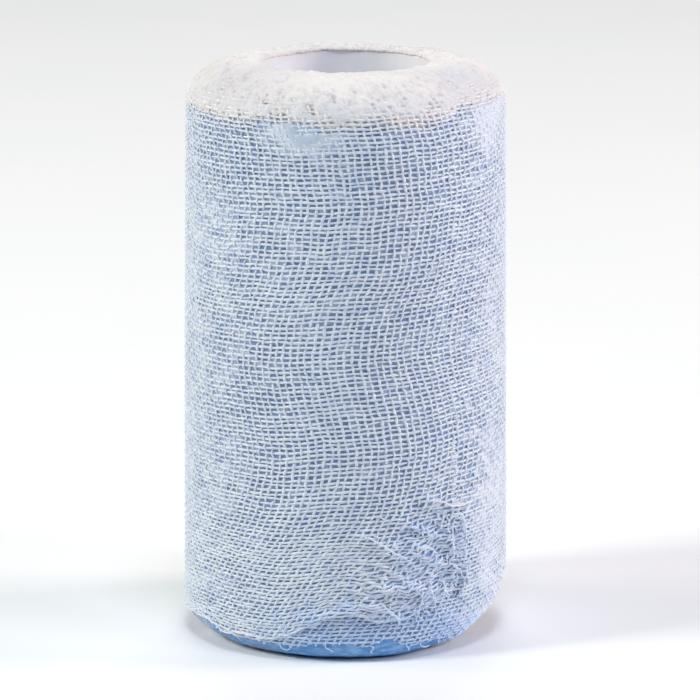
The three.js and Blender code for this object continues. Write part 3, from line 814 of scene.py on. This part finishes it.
def stray_yarns():
    """Loose yarns: those of the table, and short curls strewn over the crumpled corner.

    A curl starts at a chance place and its direction swings as it goes: angle + swing * sin(phase + turning).
    Each yarn is a tube that thins towards its ends.
    """
    steps, sides = 18, 6
    share = np.linspace(0, 1, steps)
    placed = np.array([curve_through(yarn, share) for yarn in STRAY_YARNS])
    azimuth, height, lift = placed[:, 0], placed[:, 1], placed[:, 2]
    half = np.array([yarn["half"] for yarn in STRAY_YARNS])[:, None]
    coat = np.concatenate([[yarn.get("coat", STRAY_COAT) for yarn in STRAY_YARNS], np.zeros(CURLS)])

    chance = np.random.default_rng(63)
    start_azimuth = 45 - 36 * chance.uniform(0, 1, (CURLS, 1)) ** 1.9
    start_height = 8 + 18 * chance.uniform(0, 1, (CURLS, 1))
    length = chance.uniform(0.9, 2.0, (CURLS, 1))
    angle = np.where(start_azimuth > 38, -1.35, -0.45) + chance.normal(0, 0.4, (CURLS, 1))
    swing, phase = chance.uniform(0.3, 1.1, (CURLS, 1)), chance.uniform(0, 6.3, (CURLS, 1))
    heading = angle + swing * np.sin(phase + share * 6)
    run_x = np.cumsum(np.cos(heading), axis=1) * length / steps
    run_z = np.cumsum(np.sin(heading), axis=1) * length / steps
    curl_azimuth = start_azimuth + np.degrees(run_x / ROLL_RADIUS)
    curl_height = start_height + run_z
    curl_lift = -0.15 + chance.uniform(0.1, 0.4, (CURLS, 1)) * np.sin(math.pi * share)
    inside = (curl_azimuth < 47.5) & (curl_height > read_table(TURN_EDGE, "z", curl_azimuth) - 1.6)
    azimuth = np.concatenate([azimuth, curl_azimuth])
    height = np.concatenate([height, curl_height])
    lift = np.concatenate([lift, curl_lift])
    curl_half = chance.uniform(0.13, 0.18, (CURLS, 1)) * np.where(start_azimuth > 37, 1.45, 1)
    half = np.concatenate([half, curl_half])
    present = np.concatenate([np.ones(placed[:, 0].shape, bool), inside])

    index = np.arange(len(azimuth))[:, None]
    azimuth = azimuth + 0.35 * wiggle(index, share * 9, 1.0, 61)
    height = height + 0.16 * wiggle(index, share * 9, 1.0, 62)
    folds = fold_lift(azimuth, height) * (azimuth < CUT_AZIMUTH)
    centres, outward = on_roll(azimuth, height, 0 * azimuth, lift + folds - 0.05)
    halves = half * (0.55 + 0.45 * np.sin(math.pi * share) ** 0.5)
    points, quads, places, caps = tubes(centres, outward, halves, halves * 0.85, present, sides)
    return to_mesh("stray_yarns", points, [quads, caps], places, dict(coat=np.repeat(coat, steps * sides)))


def edge_ridge():
    """Paste and yarn bunched along the lower edge of the outermost turn: one thin lumpy tube along it."""
    azimuth = np.linspace(-84, CUT_AZIMUTH - 3, 620)[None, :]
    index = np.zeros((1, 1))
    climb = read_table(TURN_EDGE, "z", azimuth) + 0.2 + 0.22 * wiggle(index, azimuth, 2.6, 75)
    climb = climb + 0.08 * wiggle(index, azimuth, 0.9, 76)
    lift = -0.12 + 0.06 * wiggle(index, azimuth, 1.1, 77)
    centres, outward = on_roll(azimuth, climb, (CUT_AZIMUTH - azimuth) / 360, lift)
    thickness = 1 + 0.35 * wiggle(index, azimuth, 1.9, 78) + 0.2 * wiggle(index, azimuth, 0.8, 79)
    present = np.ones(azimuth.shape, bool)
    points, quads, places, caps = tubes(centres, outward, 0.19 * thickness, 0.15 * thickness, present, 8)
    return to_mesh("edge_ridge", points, [quads, caps], places, dict(coat=np.full(len(points), 0.2)))


def gap_middle(column, row):
    """1 at the middle of each gap between the yarns and 0 along the yarns."""
    return (0.5 - 0.5 * np.cos(2 * math.pi * column)) * (0.5 - 0.5 * np.cos(2 * math.pi * row))


def bed_level(column, row, fill):
    """The paste's level between the yarns.

    It is 0.3 mm down at a yarn and 0.46 mm down in an open gap's middle, higher where paste fills the gap,
    and above the yarns where it smears over them.
    """
    full, smeared = np.minimum(fill, 1), np.maximum(fill - 1, 0)
    return -0.30 + 0.10 * full - (0.16 - 0.22 * full) * gap_middle(column, row) + 0.5 * smeared


def paste_body():
    """The wound roll under its outermost yarns: paste between yarns, and the foot, as one closed surface.

    It is made in the gauze's own columns and rows, two steps to each, so that the paste hollows in every gap.
    """
    around, up = COLUMNS * 2, 256
    column = ROOT_COLUMN + np.arange(around)[:, None] / 2
    row = -12 + np.arange(up)[None, :] / 2
    column, row = np.broadcast_arrays(column, row)
    azimuth, climb, turns, lift = cloth_place(column, row)
    fill = paste_fill(azimuth, climb)
    gauze = gauze_shown(azimuth, climb, turns, along_weft(WEFT_CLIMBS, turn_from(azimuth, 0), row))
    lift = lift + np.where(gauze | (turns >= 1), bed_level(column, row, fill), -0.34)
    lift = lift + 0.03 * soft_noise(azimuth, climb, 210, 0.9, 71) - 0.4 * ease((climb - 95.5) / 2)
    points, _ = on_roll(azimuth, climb, turns, lift)
    points[..., 2] = np.maximum(points[..., 2], 0.0)

    inner = [(17.4, 98.7), (BORE_RADIUS, 98.4), (BORE_RADIUS, 50), (BORE_RADIUS, 0.4), (BORE_RADIUS + 0.4, 0)]
    radius, height = np.array(inner).T
    angle = np.radians(azimuth[:, -1:])
    bore = np.stack([radius * np.sin(angle), -radius * np.cos(angle), height + 0 * angle], -1)
    points = np.concatenate([points, bore], 1)
    around_front = turn_from(azimuth, 0)
    front = ease((around_front + 78) / 12) * ease((60 - around_front) / 16)
    under_edge = read_table(UNDER_EDGE, "z", around_front)
    edge = np.where(around_front < -24, read_table(TURN_EDGE, "z", around_front), under_edge)
    smeared = ease((soft_noise(azimuth, climb, 70, 0.8, 72) + 0.3) / 0.6) * ease((-17 - around_front) / 14)
    faded = 0.4 * ease((-28 - around_front) / 22)
    # The foot value marks the bare foot under the cloth's edge, which is painted in blue reflected light and
    # shade
    foot = ease((edge + 0.7 - climb) / 1.0) * front * (1 - 0.75 * smeared) * (1 - faded)
    values = dict(fill=np.pad(fill, ((0, 0), (0, len(inner)))), foot=np.pad(foot, ((0, 0), (0, len(inner)))))
    faces = grid_faces(*points.shape[:2], True, True)
    return to_mesh("paste_body", points.reshape(-1, 3), [faces], values=values)


def turns_on_top(azimuth, climb):
    """Turns in from the cut end, with the step at the cut eased out, and the spiral too towards the lip."""
    turns = ((CUT_AZIMUTH - azimuth) % 360) / 360
    return (turns + 1 - ease(turns * 30)) * ease((LIP_END - climb) / 12)


def paste_top():
    """The paste over the shoulder, crest and lip, as a closed ring.

    It is made in the gauze's columns and rows, five and four steps to each, and eased to end at the lip.
    By a table its level rises above a wandering border until it buries the yarns, and it is thinner at the
    left and right. By chance some gaps stay open as pits, most near the border. Turns of cloth show as fine
    rings on the left and back, with grains all over and soft lumps along the lip.
    """
    around, up, first_row = COLUMNS * 5, 112, 104
    column = ROOT_COLUMN + np.arange(around)[:, None] / 5
    row = first_row + np.arange(up)[None, :] / 4
    column, row = np.broadcast_arrays(column, row)
    azimuth, climb, _, _ = cloth_place(column, row)
    climb = climb + (LIP_END - climb[:, -1:]) * ease((climb - 97) / (climb[:, -1:] - 97))
    front = turn_from(azimuth, 0)

    above = above_border(azimuth, climb)
    distances = [step["above"] for step in PASTE_LEVELS]
    levels = [step["level"] for step in PASTE_LEVELS]
    lift = np.interp(above, distances, levels)
    thin = np.exp(-(((front + 55) / 24) ** 2)) + 0.6 * np.exp(-(((front - 48) / 22) ** 2))
    lift = lift - 0.07 * thin * ease(above / 3) * ease((106 - climb) / 5)

    left_and_back = ease((-turn_from(azimuth, -28)) / 30) + ease((turn_from(azimuth, 120)) / 30)
    ringed = np.clip(left_and_back, 0, 1) * ease((climb - 96.5) / 3)
    ringed = ringed * np.clip(0.55 + 0.6 * soft_noise(azimuth, climb, 26, 4.0, 83), 0, 1)
    wander = 0.35 * soft_noise(azimuth, climb, 22, 5.0, 84)
    ring = np.cos(2 * math.pi * ((climb + wander) / 0.72 + azimuth / 360))
    lift = lift + 0.08 * ringed * ring

    rough = ease(above / 2) * (1 - 0.5 * np.exp(-((front / 30) ** 2)) * ease((climb - 98) / 3))
    grains = 0.15 * soft_noise(azimuth, climb, 150, 0.95, 85)
    grains = grains + 0.12 * soft_noise(azimuth, climb, 300, 0.5, 86)
    lift = lift + rough * grains + 0.12 * soft_noise(azimuth, climb, 36, 3.2, 87) * ease((climb - 95) / 4)

    middle = gap_middle(column, row)
    chances = np.random.default_rng(88).uniform(0, 1, (COLUMNS, 160))
    chance = chances[np.floor(column).astype(int) % COLUMNS, np.floor(row).astype(int)]
    wanted = np.interp(above, [0, 1.2, 3.0, 8], [0.7, 0.3, 0.12, 0.03])
    wanted = wanted * (1 + 1.2 * np.exp(-(((front - 22) / 20) ** 2)))
    pit = ease((wanted - chance) / 0.05) * ease((middle - 0.15) / 0.6) * ease((above + 0.5) / 1)
    placed = soft_spots(PASTE_PITS, "depth", azimuth, climb)
    lift = lift - 0.28 * pit - placed
    lift = lift - 0.07 * middle * ease((4 - above) / 4)
    lip = ease((climb - CREST_END + 1.2) / 1.5)
    lip = lip * (0.6 + 0.4 * np.cos(np.radians(front)))
    lift = lift + lip * 0.16 * np.abs(soft_noise(azimuth, 0 * climb, 34, 1.0, 90))
    lift = lift + lip * 0.10 * soft_noise(azimuth, climb, 96, 1.2, 91)
    points, _ = on_roll(azimuth, climb, turns_on_top(azimuth, climb), lift)

    below_climb = np.array([LIP_END + 0.5, CREST_END, SHOULDER_END, 99, 96, 93, 88.0])[None, :]
    below_azimuth, below_climb = np.broadcast_arrays(azimuth[:, -1:], below_climb)
    below_lift = 0 * below_climb - np.array([0.5, 0.75, 1.0, 1.0, 1.0, 1.0, 1.0])[None, :]
    below, _ = on_roll(below_azimuth, below_climb, turns_on_top(below_azimuth, below_climb), below_lift)
    points = np.concatenate([points, below], 1)
    # The pit value paints grey shade into the pits, the grains' hollows and towards the back of the crest,
    # and greys the thinner paste at the left and right
    thin_paste_and_back_shade = 0.32 * np.minimum(thin, 1) + 0.22 * ease((np.abs(front) - 100) / 50)
    painted_hollow_shade = np.clip(thin_paste_and_back_shade + pit + 2.5 * placed - 3.0 * rough * np.minimum(grains, 0), 0, 1)
    painted_hollow_shade = np.pad(painted_hollow_shade, ((0, 0), (0, below.shape[1])))
    faces = grid_faces(*points.shape[:2], True, True)
    return to_mesh("paste_top", points.reshape(-1, 3), [faces], values=dict(pit=painted_hollow_shade))


def loose_film():
    """The film of paste that holds the loose end's yarns, as a thin closed sheet on the cloth's own folds."""
    thickness = 0.2
    across, up = ROOT_COLUMN * 2, 226
    row = 0.5 + np.arange(up)[None, :] / 2
    share = np.append(np.linspace(0, 1, across - 1), 1.02)[:, None]
    at_cut = cut_columns(row)
    column = at_cut + (ROOT_COLUMN - at_cut) * share
    row = row + 0 * column
    azimuth, climb, turns, lift = cloth_place(column, row)
    edge = read_table(TURN_EDGE, "z", azimuth)
    climb = np.maximum(climb, edge + 0.3)
    fill = paste_fill(azimuth, climb)
    level = lift + bed_level(column, row, fill) + 0.03 * soft_noise(azimuth, climb, 210, 0.9, 71)
    bevel = np.zeros(level.shape)
    bevel[:, [0, -1]] = 0.3 * thickness
    bevel[0, :] = 0.3 * thickness
    level[-1, :] -= 0.8 * thickness
    outer, _ = on_roll(azimuth, climb, turns, level - bevel)
    inner, _ = on_roll(azimuth, climb, turns, level - thickness + bevel)
    points = np.concatenate([outer.reshape(-1, 3), inner.reshape(-1, 3)])
    top = grid_faces(across, up, False, False)
    bottom = top[:, ::-1] + across * up
    rim = np.concatenate([
        np.arange(up),
        np.arange(1, across) * up + up - 1,
        (across - 1) * up + np.arange(up - 2, -1, -1),
        np.arange(across - 2, 0, -1) * up,
    ])
    after = np.roll(rim, -1)
    rim_faces = np.stack([after, rim, rim + across * up, after + across * up], -1)
    values = dict(fill=np.concatenate([fill.ravel(), fill.ravel()]), foot=np.zeros(2 * fill.size))
    return to_mesh("loose_end_film", points, [top, bottom, rim_faces], values=values)


def core_tube():
    """The plastic core: a tube with rounded rims, turned round the axis from a closed outline."""
    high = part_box("core_tube")[1]
    outer, top = high.x / MM, high.z / MM + CORE_RAISED
    inner, rim, around = CORE_INNER_RADIUS, CORE_RIM_ROUND, 180
    corner = np.linspace(0, math.pi / 2, 6)
    outline_radius = np.concatenate([
        outer - rim + rim * np.sin(corner),
        outer - rim + rim * np.cos(corner),
        inner + rim - rim * np.sin(corner),
        inner + rim - rim * np.cos(corner),
    ])
    outline_height = np.concatenate([
        rim - rim * np.cos(corner),
        top - rim + rim * np.sin(corner),
        top - rim + rim * np.cos(corner),
        rim - rim * np.sin(corner),
    ])
    angle = np.linspace(0, 2 * math.pi, around, endpoint=False)[:, None]
    height = outline_height + 0 * angle
    points = np.stack([outline_radius * np.sin(angle), -outline_radius * np.cos(angle), height], -1)
    faces = grid_faces(around, points.shape[1], True, True)[:, ::-1]
    return to_mesh("core", points.reshape(-1, 3), [faces])


class Shading:
    """A material or group's nodes, with short ways to add and link them."""

    def __init__(self, tree):
        self.tree = tree

    def add(self, kind, values=None, **settings):
        """A node of a kind with its settings, and a number or another node's socket for each input."""
        node = self.tree.nodes.new(kind)
        for key, value in settings.items():
            setattr(node, key, value)
        for key, value in (values or {}).items():
            if isinstance(value, bpy.types.NodeSocket):
                self.tree.links.new(value, node.inputs[key])
            else:
                node.inputs[key].default_value = value
        return node

    def math(self, operation, a, b):
        """A sum, difference, product or sine of two values."""
        return self.add("ShaderNodeMath", {0: a, 1: b}, operation=operation).outputs[0]

    def mix(self, share, a, b):
        """The colour a at share 0 and b at share 1."""
        node = self.add("ShaderNodeMix", {"Factor": share}, data_type="RGBA")
        for socket, value in ((node.inputs[6], a), (node.inputs[7], b)):
            if isinstance(value, bpy.types.NodeSocket):
                self.tree.links.new(value, socket)
            else:
                socket.default_value = (*value, 1)
        return node.outputs[2]

    def tint(self, colour, mask, share, other):
        """A colour that changes into another by a share of a mask."""
        return self.mix(self.math("MULTIPLY", mask, share), colour, other)

    def between(self, value, low, high, to_low=0.0, to_high=1.0):
        """A value eased from one range to another, and held at its ends."""
        values = {"Value": value, "From Min": low, "From Max": high, "To Min": to_low, "To Max": to_high}
        return self.add("ShaderNodeMapRange", values, interpolation_type="SMOOTHSTEP").outputs[0]

    def attribute(self, name):
        """A number that the mesh carries at each point."""
        return self.add("ShaderNodeAttribute", attribute_name=name).outputs["Fac"]

    def low_down(self, vector, none, full):
        """0 above one height in metres and 1 below another, with the border torn by noise."""
        height = self.add("ShaderNodeSeparateXYZ", {0: vector}).outputs[2]
        torn = self.math("SUBTRACT", self.noise(vector, 4.0), 0.5)
        torn = self.math("MULTIPLY", torn, self.math("SUBTRACT", none, full))
        return self.between(self.math("ADD", height, torn), full, none, 1.0, 0.0)

    def near(self, vector, place, reach):
        """1 around a place in millimetres, and 0 beyond a reach from it."""
        middle = [value * MM for value in place]
        apart = self.add("ShaderNodeVectorMath", {0: vector, 1: middle}, operation="DISTANCE")
        return self.between(apart.outputs["Value"], 0.45 * reach * MM, reach * MM, 1.0, 0.0)

    def noise(self, vector, size, detail=3.0, roughness=0.55):
        """Noise whose blotches are about so many millimetres across."""
        values = {"Vector": vector, "Scale": 1 / (size * MM), "Detail": detail, "Roughness": roughness}
        return self.add("ShaderNodeTexNoise", values).outputs[0]


def make_group(name, inputs, outputs):
    """A new node group, with short ways to its nodes and the sockets of its inputs and outputs."""
    tree = bpy.data.node_groups.new(name, "ShaderNodeTree")
    for label, kind in inputs:
        tree.interface.new_socket(label, in_out="INPUT", socket_type=kind)
    for label, kind in outputs:
        tree.interface.new_socket(label, in_out="OUTPUT", socket_type=kind)
    shading = Shading(tree)
    return tree, shading, shading.add("NodeGroupInput").outputs, shading.add("NodeGroupOutput").inputs


def paste_grain_group():
    """Grains and smears of thick paste: a height for bumps and a mask of where the paste is thin."""
    inputs = [("Place", "NodeSocketVector"), ("Grain", "NodeSocketFloat"), ("Smear", "NodeSocketFloat")]
    outputs = [("Height", "NodeSocketFloat"), ("Thin", "NodeSocketFloat")]
    tree, s, given, result = make_group("paste_grain", inputs, outputs)
    fine = s.noise(given["Place"], 0.35, 4.0, 0.6)
    coarse = s.noise(given["Place"], 1.6, 3.0, 0.5)
    cells = s.add("ShaderNodeTexVoronoi", {"Vector": given["Place"], "Scale": 1 / (0.55 * MM)})
    grains = s.math("MULTIPLY", cells.outputs["Distance"], -0.5)
    height = s.math("MULTIPLY", s.math("ADD", fine, grains), given["Grain"])
    height = s.math("ADD", height, s.math("MULTIPLY", coarse, given["Smear"]))
    s.tree.links.new(height, result["Height"])
    s.tree.links.new(s.between(coarse, 0.42, 0.66), result["Thin"])
    return tree


def yarn_twist_group():
    """The twist of a spun yarn: slanting ridges along its own length, softened by the paste on it."""
    inputs = [("Place", "NodeSocketVector"), ("Turns", "NodeSocketFloat")]
    outputs = [("Height", "NodeSocketFloat")]
    tree, s, given, result = make_group("yarn_twist", inputs, outputs)
    along = s.add("ShaderNodeSeparateXYZ", {0: given["Place"]}).outputs
    phase = s.math("ADD", s.math("MULTIPLY", along[0], given["Turns"]), s.math("MULTIPLY", along[1], 2.0))
    ridge = s.math("SINE", s.math("MULTIPLY", phase, 2 * math.pi), 0)
    s.tree.links.new(s.math("MULTIPLY", s.math("ADD", ridge, 1.0), 0.5), result["Height"])
    return tree


def painted_blue_light_group():
    """Masks of where blue light is painted on: reflected blue at the foot's front, from a given height down,
    and blue shade at the corner.
    """
    inputs = [("Place", "NodeSocketVector"), ("Height", "NodeSocketFloat")]
    outputs = [("Foot", "NodeSocketFloat"), ("Corner", "NodeSocketFloat")]
    tree, s, given, result = make_group("painted_blue_light_places", inputs, outputs)
    low = s.low_down(given["Place"], given["Height"], 1 * MM)
    foot = s.math("MULTIPLY", low, s.near(given["Place"], FOOT_FRONT, FOOT_REACH))
    s.tree.links.new(foot, result["Foot"])
    s.tree.links.new(s.near(given["Place"], CORNER, CORNER_REACH), result["Corner"])
    return tree


def new_material(name):
    """A new material, with short ways to its nodes, its shader and its texture coordinates."""
    material = bpy.data.materials.new(name)
    material.use_nodes = True
    shader = material.node_tree.nodes["Principled BSDF"]
    shading = Shading(material.node_tree)
    return material, shading, shader, shading.add("ShaderNodeTexCoord").outputs


def link_bump(shading, shader, height, distance, strength):
    """Feeds a height, in millimetres of relief at 1, to the shader's normal."""
    values = {"Height": height, "Distance": distance * MM, "Strength": strength}
    bump = shading.add("ShaderNodeBump", values)
    shading.tree.links.new(bump.outputs[0], shader.inputs["Normal"])


def yarn_material(grain, twist, painted_blue_light_places):
    """Cotton yarn coated with paste: cool white, partly its own tone and partly painted blue reflected light,
    and greyer where the paste is thin. Low at the front it takes painted blue reflected light and shade, and
    at the loose corner painted blue shade.

    Under the thick paste of the wound end it is warm white.
    """
    material, s, shader, place = new_material("pasted_yarn")
    coat = s.add("ShaderNodeGroup", {"Place": place["Object"], "Grain": 0.6, "Smear": 0.8}, node_tree=grain)
    ridges = s.add("ShaderNodeGroup", {"Place": place["UV"], "Turns": 1.6}, node_tree=twist)
    blue = s.add("ShaderNodeGroup", {"Place": place["Object"], "Height": 15 * MM}, node_tree=painted_blue_light_places)
    cloudy = s.between(s.noise(place["Object"], 7.0, 3.0), 0.35, 0.68)
    colour = s.mix(coat.outputs["Thin"], YARN_WHITE, YARN_THINLY_PASTED)
    colour = s.tint(colour, cloudy, 0.35, YARN_CLOUDY)
    colour = s.tint(colour, blue.outputs["Foot"], 0.85, YARN_FOOT_BLUE_REFLECTION)
    colour = s.tint(colour, blue.outputs["Corner"], 0.5, YARN_CORNER_BLUE_SHADE)
    colour = s.mix(s.attribute("coat"), colour, YARN_COATED)
    s.tree.links.new(colour, shader.inputs["Base Color"])
    s.tree.links.new(s.between(coat.outputs["Thin"], 0, 1, 0.42, 0.68), shader.inputs["Roughness"])
    height = s.math("ADD", s.math("MULTIPLY", ridges.outputs["Height"], 0.5), coat.outputs["Height"])
    link_bump(s, shader, height, 0.06, 0.5)
    return material


def gap_paste_material(grain, painted_blue_light_places):
    """Paste between and under the yarns: painted slate-blue shade in open gaps, cool white where it fills
    them.

    It is pale where it smears over the yarns. Low at the front it takes painted blue reflected light and
    shade, at the loose corner painted blue shade, and on the bare foot painted blue reflected light, streaked
    and with a torn border.
    """
    material, s, shader, place = new_material("gap_paste")
    coat = s.add("ShaderNodeGroup", {"Place": place["Object"], "Grain": 1.0, "Smear": 1.0}, node_tree=grain)
    blue = s.add("ShaderNodeGroup", {"Place": place["Object"], "Height": 13 * MM}, node_tree=painted_blue_light_places)
    fill = s.attribute("fill")
    thinner = s.math("MULTIPLY", s.math("SUBTRACT", coat.outputs["Thin"], 0.5), -0.3)
    colour = s.mix(s.between(s.math("ADD", fill, thinner), 0.0, 0.95), GAP_OPEN_SHADE, GAP_FILLED)
    colour = s.tint(colour, blue.outputs["Foot"], 0.7, GAP_FOOT_BLUE_REFLECTION)
    colour = s.tint(colour, blue.outputs["Corner"], 0.7, GAP_CORNER_BLUE_SHADE)
    colour = s.mix(s.between(fill, 1.0, 1.4), colour, SMEARED_PASTE)
    stretched = s.add("ShaderNodeMapping", {"Vector": place["Object"], "Scale": (0.3, 0.3, 1)}).outputs[0]
    streaks = s.between(s.noise(stretched, 0.7, 4.0, 0.65), 0.38, 0.66)
    torn = s.math("SUBTRACT", s.noise(place["Object"], 0.9, 4.0, 0.65), 0.5)
    bare = s.math("ADD", s.attribute("foot"), s.math("MULTIPLY", torn, 1.3))
    streaked = s.mix(streaks, BARE_FOOT_REFLECTION_DARK, BARE_FOOT_REFLECTION_LIGHT)
    colour = s.tint(colour, s.between(bare, 0.32, 0.72), 0.92, streaked)
    s.tree.links.new(colour, shader.inputs["Base Color"])
    shader.inputs["Roughness"].default_value = 0.62
    link_bump(s, shader, coat.outputs["Height"], 0.12, 0.6)
    return material


def top_paste_material(grain):
    """Thick white paste on the wound end: warm white, with painted cool shade low on the shoulder near its
    border and at the right shoulder, and painted grey shade in its pits and hollows.
    """
    material, s, shader, place = new_material("top_paste")
    coat = s.add("ShaderNodeGroup", {"Place": place["Object"], "Grain": 1.0, "Smear": 0.6}, node_tree=grain)
    cloudy = s.between(s.noise(place["Object"], 5.0, 4.0), 0.4, 0.7)
    colour = s.mix(cloudy, TOP_WHITE, TOP_CLOUDY)
    colour = s.tint(colour, s.low_down(place["Object"], 98.2 * MM, 94 * MM), 0.6, TOP_SHOULDER_SHADE)
    at_right = s.near(place["Object"], RIGHT_SHOULDER, RIGHT_SHOULDER_REACH)
    colour = s.tint(colour, at_right, 0.5, TOP_RIGHT_SHADE)
    colour = s.tint(colour, s.attribute("pit"), 0.8, TOP_PIT_SHADE)
    s.tree.links.new(colour, shader.inputs["Base Color"])
    s.tree.links.new(s.between(coat.outputs["Thin"], 0, 1, 0.45, 0.65), shader.inputs["Roughness"])
    link_bump(s, shader, coat.outputs["Height"], 0.2, 0.9)
    return material


def core_material():
    """Smooth moulded plastic: cool white with faint drawing marks along its length."""
    material, s, shader, place = new_material("core_plastic")
    stretched = s.add("ShaderNodeMapping", {"Vector": place["Object"], "Scale": (1, 1, 0.04)}).outputs[0]
    marks = s.noise(stretched, 1.2, 2.0)
    colour = s.mix(s.between(marks, 0.35, 0.7), CORE_WHITE, CORE_MARK)
    s.tree.links.new(colour, shader.inputs["Base Color"])
    s.tree.links.new(s.between(marks, 0.3, 0.7, 0.28, 0.4), shader.inputs["Roughness"])
    link_bump(s, shader, marks, 0.02, 0.2)
    return material


def floor_material():
    """A plain pale studio floor."""
    material, s, shader, place = new_material("pale_floor")
    mottled = s.between(s.noise(place["Object"], 60.0, 2.0), 0.3, 0.7)
    s.tree.links.new(s.mix(mottled, FLOOR_WHITE, FLOOR_MOTTLE), shader.inputs["Base Color"])
    shader.inputs["Roughness"].default_value = 0.8
    return material


def dress(piece, material):
    """Gives a piece its material, and lets it ride with the roll."""
    piece.data.materials.append(material)
    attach(piece, "root")
    return piece


def turn_towards(obj, place, aim):
    """Puts a lamp or camera into the scene at a place in metres, turned to face another."""
    obj.location = place
    obj.rotation_euler = (Vector(aim) - Vector(place)).to_track_quat("-Z", "Y").to_euler()
    bpy.context.scene.collection.objects.link(obj)


def soft_light(name, place, size, power, colour):
    """A square soft light that faces the roll."""
    light = bpy.data.lights.new(name, "AREA")
    light.size, light.energy, light.color = size, power, colour
    turn_towards(bpy.data.objects.new(name, light), place, LIGHTS_AIM)


def studio():
    """Floor, surrounding light, lamps and the camera at the picture's angle."""
    corners = np.array([(-1, -1, 0), (1, -1, 0), (1, 1, 0), (-1, 1, 0)]) * FLOOR_HALF / MM
    floor = to_mesh("floor", corners, [np.array([[0, 1, 2, 3]])], smooth=False)
    floor.data.materials.append(floor_material())

    world = bpy.data.worlds.new("studio")
    world.use_nodes = True
    background = world.node_tree.nodes["Background"].inputs
    background["Color"].default_value = (*WORLD_COLOUR, 1)
    background["Strength"].default_value = WORLD_STRENGTH
    bpy.context.scene.world = world
    for light in LIGHTS:
        soft_light(**light)

    elevation = math.radians(CAMERA_ELEVATION)
    away = CAMERA_DISTANCE * Vector((0, -math.cos(elevation), math.sin(elevation)))
    camera = bpy.data.cameras.new("camera")
    camera.lens = CAMERA_LENS
    obj = bpy.data.objects.new("camera", camera)
    turn_towards(obj, Vector(CAMERA_AIM) + away, CAMERA_AIM)
    bpy.context.scene.camera = obj
    bpy.context.scene.view_settings.view_transform = "Standard"


grain, twist, painted_blue_light_places = paste_grain_group(), yarn_twist_group(), painted_blue_light_group()
yarn_finish = yarn_material(grain, twist, painted_blue_light_places)
gap_finish = gap_paste_material(grain, painted_blue_light_places)

body = dress(paste_body(), gap_finish)
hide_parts("wound_roll")
dress(paste_top(), top_paste_material(grain))
for piece in yarn_pieces("warp_yarns", warp_yarns(), 2) + yarn_pieces("weft_yarns", weft_yarns(), 2):
    dress(piece, yarn_finish)
strays = dress(stray_yarns(), yarn_finish)
dress(edge_ridge(), yarn_finish)
film = dress(loose_film(), gap_finish)
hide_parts("loose_end")
core = dress(core_tube(), core_material())
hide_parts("core_tube")
studio()
